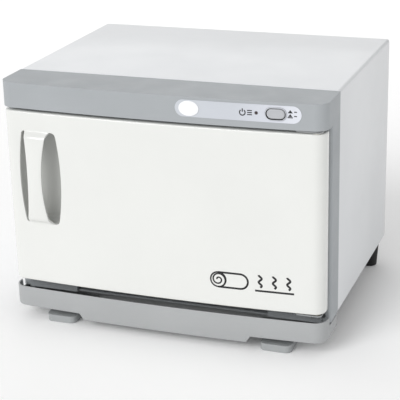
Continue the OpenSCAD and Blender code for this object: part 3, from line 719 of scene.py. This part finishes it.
# ---------------------------------------------------------------- softened CAD nodes
def soften(node, width, seg=2, ang=30, smooth=35):
    """a softened copy of a CAD node whose shape is right: flat facets merged, edges eased"""
    src = N[node]
    me = src.data.copy()
    bm = bmesh.new()
    bm.from_mesh(me)
    bmesh.ops.remove_doubles(bm, verts=bm.verts, dist=2e-6)
    bmesh.ops.dissolve_limit(bm, angle_limit=math.radians(0.6), verts=bm.verts, edges=bm.edges)
    bm.to_mesh(me)
    bm.free()
    ob = bpy.data.objects.new(node + "_soft", me)
    ob.matrix_world = src.matrix_world.copy()
    bpy.context.scene.collection.objects.link(ob)
    body = body_of(src) if isinstance(body_of(src), str) else list(body_of(src))[0]
    finish_piece(ob, NODE_SLOT[node], body, [node], smooth, width, seg)
    # flat faces keep one even tone: corner normals weighted by face area
    wn = ob.modifiers.new("flats", "WEIGHTED_NORMAL")
    wn.mode = "FACE_AREA"
    wn.weight = 90
    wn.keep_sharp = True
    dg = bpy.context.evaluated_depsgraph_get()
    dg.update()
    out = bpy.data.meshes.new_from_object(ob.evaluated_get(dg))
    ob.modifiers.clear()
    ob.data = out
    return ob


# ---------------------------------------------------------------- small fronts
def on_front(x, z, out):
    """a point standing `out` in front of the bowed face"""
    nx, ny = x / BR, -math.sqrt(1 - (x / BR) ** 2)
    return V(x + nx * out, front_y(x) + ny * out, z)


def face_local(x0, z0):
    """maps local (u, w, out) near a control to the bowed face"""
    a = math.asin(x0 / BR)
    ca, sa = math.cos(a), math.sin(a)
    y0 = front_y(x0)

    def f(u, w, out):
        # local -Y points straight out of the face
        lx, ly = u, -out
        return V(x0 + lx * ca - ly * sa, y0 + lx * sa + ly * ca, z0 + w)

    return f


def fn_inv(co):
    """a button-side point back to (u, w) on the face"""
    a = math.asin(161.0 / BR)
    dx, dy = co.x * 1000 - 161.0, co.y * 1000 - YJ - front_y(161.0)
    return dx * math.cos(a) + dy * math.sin(a), co.z * 1000 - CTL


def stadium_pts(w, h, n=12):
    r = h / 2
    pts = []
    for i in range(n + 1):
        a = -math.pi / 2 + math.pi * i / n
        pts.append(((w - h) / 2 + r * math.cos(a), r * math.sin(a)))
    for i in range(n + 1):
        a = math.pi / 2 + math.pi * i / n
        pts.append((-(w - h) / 2 + r * math.cos(a), r * math.sin(a)))
    return pts


def loft_local(name, fn, loops, slot, body, replaces=(), cap0=True, cap1=True, smooth=40):
    verts = [fn(*p) for lp in loops for p in lp]
    m = len(loops[0])
    faces = grid_faces(len(loops), m, 0, True)
    if cap0:
        faces.append(tuple(range(m))[::-1])
    if cap1:
        faces.append(tuple((len(loops) - 1) * m + k for k in range(m)))
    return mesh(name, verts, faces, slot, body, replaces, smooth=smooth)


def button_piece():
    fn = face_local(161.0, CTL)
    loops = []
    for o, out in ((0.0, -8.8), (0.0, -0.2), (0.3, 0.3), (0.65, 0.8), (1.15, 1.1), (1.9, 1.2), (3.2, 1.16), (5.0, 1.02)):
        loops.append([(u, w, out) for u, w in stadium_pts(24 - 2 * o, 13 - 2 * o)])
    ob = loft_local("button_cap", fn, loops, "button_grey", "button", ["power_button"], smooth=45)
    return ob


def bezel_piece():
    fn = face_local(161.0, CTL)
    loops = []
    prof = [(13.5, 8.0, -8.8), (13.5, 8.0, -0.1), (14.1, 8.6, 0.02), (14.1, 8.6, 0.9), (13.9, 8.4, 1.3), (13.6, 8.1, 1.46), (13.2, 7.7, 1.46), (12.98, 7.48, 1.3), (12.8, 7.3, 0.9), (12.42, 6.92, 0.3), (12.36, 6.86, -8.8)]
    for a, b, out in prof:
        loops.append([(u, w, out) for u, w in stadium_pts(2 * a, 2 * b)])
    verts = [fn(*p) for lp in loops for p in lp]
    m = len(loops[0])
    faces = grid_faces(len(loops), m, 0, True)
    last = (len(loops) - 1) * m
    for j in range(m):
        k = (j + 1) % m
        faces.append((last + j, last + k, k, j))
    ob = mesh("button_surround", verts, faces, "bezel_dark", "cabinet", ["button_bezel"], smooth=45)
    # painted shade: the inner lip round the button is made black, standing in for the shadow in the gap round the
    # button
    ob.data.materials.append(M["black_plastic"])
    for p in ob.data.polygons:
        q = [fn_inv(ob.data.vertices[i].co) for i in p.vertices]
        if max(max(abs(u) - 5.5, 0) ** 2 + w * w for u, w in q) < 7.55 ** 2:
            p.material_index = 1
    return ob


def badge_piece():
    fn = face_local(47.5, CTL)
    loops = []
    n = 72
    for o, out in ((0.0, 0.45), (0.0, 1.0), (0.12, 1.25), (0.4, 1.42), (0.75, 1.46), (1.0, 1.38), (1.25, 1.36), (2.2, 1.62), (4.0, 1.88), (6.2, 2.08), (8.2, 2.17)):
        loops.append([((13.5 - o) * math.cos(2 * math.pi * k / n), (10 - o) * math.sin(2 * math.pi * k / n), out) for k in range(n)])
    return loft_local("badge_dome", fn, loops, "badge_white", "cabinet", ["badge"], smooth=50)


def lamp_piece():
    fn = face_local(136.0, CTL)
    n = 32
    loops = []
    for r, out in ((1.9, -13.0), (1.9, 0.35), (1.75, 0.6), (1.35, 0.75), (0.7, 0.8)):
        loops.append([(r * math.cos(2 * math.pi * k / n), r * math.sin(2 * math.pi * k / n), out) for k in range(n)])
    flange = [(1.9, -4.2), (3.6, -4.2), (3.6, -2.8), (1.9, -2.8)]
    return loft_local("lamp_body", fn, loops[:1] + [[(r * math.cos(2 * math.pi * k / n), r * math.sin(2 * math.pi * k / n), out) for k in range(n)] for r, out in flange] + loops[1:],
                      "lamp_lens", "cabinet", ["indicator_lamp"], smooth=50)


def panel_piece():
    """printed film on the bow, with rounded ends and holes for the lamp and the button"""
    pts = stadium_pts(164.6, 22.3, 20)
    verts, faces = [], []
    me = bpy.data.meshes.new("panel_film")
    bm = bmesh.new()
    x0 = 111.3

    def ring(ps, cx, cz):
        return [bm.verts.new((cx + u, 0, cz + w)) for u, w in ps]

    outer = ring(pts, x0, CTL)
    h1 = ring(stadium_pts(28.7, 17.7, 12), 161.0, CTL)
    h2 = ring([(2.3 * math.cos(2 * math.pi * k / 28), 2.3 * math.sin(2 * math.pi * k / 28)) for k in range(28)], 136.0, CTL)
    edges = []
    for lp in (outer, h1, h2):
        for i in range(len(lp)):
            edges.append(bm.edges.new((lp[i], lp[(i + 1) % len(lp)])))
    bmesh.ops.triangle_fill(bm, use_beauty=True, use_dissolve=False, edges=edges)
    bm.faces.ensure_lookup_table()
    # cut it into narrow bands so that it follows the bow
    for i in range(-26, 27):
        bmesh.ops.bisect_plane(bm, geom=bm.verts[:] + bm.edges[:] + bm.faces[:], plane_co=(x0 + i * 3.1, 0, 0), plane_no=(1, 0, 0))
    for v in bm.verts:
        p = on_front(v.co.x, v.co.z, 0.03)
        v.co = p
    bmesh.ops.recalc_face_normals(bm, faces=bm.faces)
    if sum(q.normal.y * q.calc_area() for q in bm.faces) > 0:
        bmesh.ops.reverse_faces(bm, faces=bm.faces)
    bm.to_mesh(me)
    bm.free()
    ob = bpy.data.objects.new("panel_film", me)
    bpy.context.scene.collection.objects.link(ob)
    so = ob.modifiers.new("film", "SOLIDIFY")
    so.thickness = 0.00038
    so.offset = 1.0
    dg = bpy.context.evaluated_depsgraph_get()
    dg.update()
    out = bpy.data.meshes.new_from_object(ob.evaluated_get(dg))
    ob.modifiers.clear()
    ob.data = out
    finish_piece(ob, "panel_label", "cabinet", ["control_panel"], 30)
    return ob


def print_strips(name, polys, place, slot, body, thick=0.05):
    """thin printed marks: each poly is a closed list of (u, w); place(u, w, out) -> Vector"""
    verts, faces = [], []
    for poly in polys:
        if isinstance(poly, dict):      # a ribbon along a line of points
            p, w, closed = poly["line"], poly["w"] / 2, poly.get("closed", False)
            n = len(p)
            L, R = [], []
            for i in range(n):
                a = p[(i - 1) % n] if (closed or i > 0) else p[i]
                b = p[(i + 1) % n] if (closed or i < n - 1) else p[i]
                dx, dz = b[0] - a[0], b[1] - a[1]
                q = math.hypot(dx, dz) or 1
                nx, nz = -dz / q * w, dx / q * w
                L.append((p[i][0] + nx, p[i][1] + nz))
                R.append((p[i][0] - nx, p[i][1] - nz))
            segs = n if closed else n - 1
            base = len(verts)
            for i in range(n):
                for (u, v2), out in ((L[i], thick), (R[i], thick), (R[i], -0.02), (L[i], -0.02)):
                    verts.append(place(u, v2, out))
            for i in range(segs):
                a, b = base + 4 * i, base + 4 * ((i + 1) % n)
                for k in range(4):
                    faces.append((a + k, a + (k + 1) % 4, b + (k + 1) % 4, b + k))
            if not closed:
                faces.append(tuple(base + k for k in (3, 2, 1, 0)))
                faces.append(tuple(base + 4 * (n - 1) + k for k in range(4)))
        else:
            base, n = len(verts), len(poly)
            for u, v2 in poly:
                verts.append(place(u, v2, thick))
            for u, v2 in poly:
                verts.append(place(u, v2, -0.02))
            faces.append(tuple(base + k for k in range(n)))
            faces.append(tuple(base + n + k for k in range(n))[::-1])
            for k in range(n):
                faces.append((base + k, base + n + k, base + n + (k + 1) % n, base + (k + 1) % n))
    return mesh(name, verts, faces, slot, body, smooth=20)


def arc_pts(cx, cz, r, a0, a1, n=24, ez=1.0):
    return [(cx + r * math.cos(math.radians(a0 + (a1 - a0) * i / n)), cz + ez * r * math.sin(math.radians(a0 + (a1 - a0) * i / n))) for i in range(n + 1)]


def front_prints():
    fn = lambda u, w, out: on_front(u, w, 0.42 + out)
    # a power pictogram, two small pointers and ticks beside the button
    polys = [
        {"line": arc_pts(118.2, CTL - 0.4, 3.6, 125, 415, 26), "w": 1.45},
        {"line": [(118.2, CTL + 0.4), (118.2, CTL + 4.8)], "w": 1.4},
        {"line": [(124.4, CTL + 2.6), (130.6, CTL + 2.6)], "w": 1.3},
        {"line": [(124.4, CTL - 0.1), (130.6, CTL - 0.1)], "w": 1.3},
        {"line": [(124.4, CTL - 2.8), (130.6, CTL - 2.8)], "w": 1.3},
    ]
    a = print_strips("panel_marks", polys, fn, "print_black", "cabinet")
    x, z = 179.3, CTL + 1.4
    tri = [
        [(x - 3.3, z + 0.7), (x + 3.3, z + 0.7), (x, z + 4.9)],
        [(x - 2.7, z - 3.8), (x + 2.7, z - 3.8), (x, z - 0.2)],
        {"line": [(x - 3.3, z - 4.9), (x + 3.3, z - 4.9)], "w": 1.3},
        {"line": [(x + 4.9, z + 2.5), (x + 8.4, z + 2.5)], "w": 1.25},
        {"line": [(x + 4.9, z - 3.0), (x + 8.4, z - 3.0)], "w": 1.25},
    ]
    b = print_strips("panel_pointers", tri, fn, "print_black", "cabinet")
    return a, b


def door_prints():
    """a plain pictogram of a rolled towel and rising heat in place of the original print"""
    fn = lambda u, w, out: on_front(u, w, 0.012 + out)
    z0 = 345 - 246.0
    polys = []
    # rolled towel: spiral end and body
    sp = []
    for i in range(91):
        t = i / 90
        a = math.radians(-90 + 990 * t)
        r = 10.4 * (1 - 0.84 * max(0.0, t - 0.4) / 0.6)
        sp.append((82.0 + r * math.cos(a), z0 - 0.6 + r * math.sin(a)))
    polys.append({"line": sp, "w": 2.1})
    low = [(82.0 + 3.0 * i, z0 - 11.0) for i in range(10)]
    high = [(109.0 - 3.0 * i, z0 + 9.8) for i in range(10)]
    polys.append({"line": low + arc_pts(112.0, z0 - 0.6, 10.4, -90, 90, 14) + high, "w": 2.7})
    # three long ripples of rising heat, over a short bar
    for k in range(3):
        x = 139.0 + k * 19.0
        pts = [(x + 2.0 * math.sin(2 * math.pi * (i / 48) * 1.75), z0 - 6.2 + 17.6 * i / 48) for i in range(49)]
        polys.append({"line": pts, "w": 2.9})
    polys.append({"line": [(132.0 + 2.6 * i, z0 - 11.0) for i in range(21)], "w": 2.7})
    return print_strips("door_pictogram", polys, fn, "print_black", "door", 0.045)


# ---------------------------------------------------------------- camera, light, floor
def camera():
    cam = bpy.data.cameras.new("cam")
    ob = bpy.data.objects.new("cam", cam)
    bpy.context.scene.collection.objects.link(ob)
    X = Vector((0.9399596, 0.3403968, -0.0246166))
    Y = -Vector((0.095217, -0.330826, -0.9388759))
    Z = -Vector((-0.3277342, 0.8801614, -0.3433746))
    m = Matrix((X, Y, Z)).transposed().to_4x4()
    m.translation = V(613.2965606, -1561.1008505, 442.2398078 + 345.0)
    ob.matrix_world = m
    cam.sensor_width = 36.0
    cam.sensor_fit = "HORIZONTAL"
    cam.lens = 36.0 * 1310.8478 / 400
    cam.clip_start, cam.clip_end = 0.05, 60
    cam.dof.use_dof = False
    bpy.context.scene.camera = ob
    return ob


def area(name, loc, target, size, power, size_y=None, col=(1, 1, 1)):
    li = bpy.data.lights.new(name, "AREA")
    li.energy = power
    li.size = size
    li.color = col
    if size_y:
        li.shape = "RECTANGLE"
        li.size_y = size_y
    ob = bpy.data.objects.new(name, li)
    bpy.context.scene.collection.objects.link(ob)
    ob.location = loc
    d = Vector(target) - Vector(loc)
    ob.rotation_euler = d.to_track_quat("-Z", "Y").to_euler()
    return ob


def sun(name, d, strength, angle):
    li = bpy.data.lights.new(name, "SUN")
    li.energy = strength
    li.angle = math.radians(angle)
    ob = bpy.data.objects.new(name, li)
    bpy.context.scene.collection.objects.link(ob)
    ob.location = Vector(d) * 3
    ob.rotation_euler = (-Vector(d)).to_track_quat("-Z", "Y").to_euler()
    return ob


def studio():
    me = bpy.data.meshes.new("floor")
    s = 14.0
    me.from_pydata([(-s, -s, 0), (s, -s, 0), (s, s, 0), (-s, s, 0)], [], [(0, 1, 2, 3)])
    fl = bpy.data.objects.new("floor", me)
    bpy.context.scene.collection.objects.link(fl)
    m = Mat("floor_pale")
    col = m.ramp(m.noise(1.3, 2.0), [(0.3, (0.975, 0.975, 0.975, 1)), (0.7, (0.988, 0.988, 0.988, 1))])
    m.link(col, m.b.inputs["Base Color"])
    m.set(Roughness=0.75, Specular_IOR_Level=0.2, Emission_Color=(1, 1, 1, 1), Emission_Strength=0.03)
    me.materials.append(m.m)
    fl.location.z = -0.0004
    w = bpy.data.worlds.new("world")
    bpy.context.scene.world = w
    w.use_nodes = True
    bg = w.node_tree.nodes["Background"]
    bg.inputs[0].default_value = (1, 1, 1, 1)
    bg.inputs[1].default_value = 0.665
    sun("key", (-0.36, -0.76, 0.54), 1.33, 32)
    area("fill", (2.2, -1.35, 1.0), (0, 0, 0.18), 1.3, 0.9)
    area("back", (-0.8, 2.1, 1.3), (0, 0.1, 0.34), 1.8, 6.5)
    bpy.context.scene.view_settings.view_transform = "Standard"
    bpy.context.scene.view_settings.look = "None"


# ---------------------------------------------------------------- build
camera()
case_piece()
door_piece()
cup_piece()
button_piece()
bezel_piece()
badge_piece()
lamp_piece()
panel_piece()
front_prints()
door_prints()
tray_piece()
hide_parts("drip_tray")
for n in ("front_foot_left", "front_foot_right"):
    soften(n, 0.9)
for n in ("rear_foot_left", "rear_foot_right"):
    soften(n, 0.8)
soften("front_frame", 0.9, 3)
for n in ("rack_supports", "tray_rails", "door_gasket", "magnet_catch", "catch_plate", "hinge_bracket_upper", "hinge_bracket_lower"):
    soften(n, 0.3)
studio()
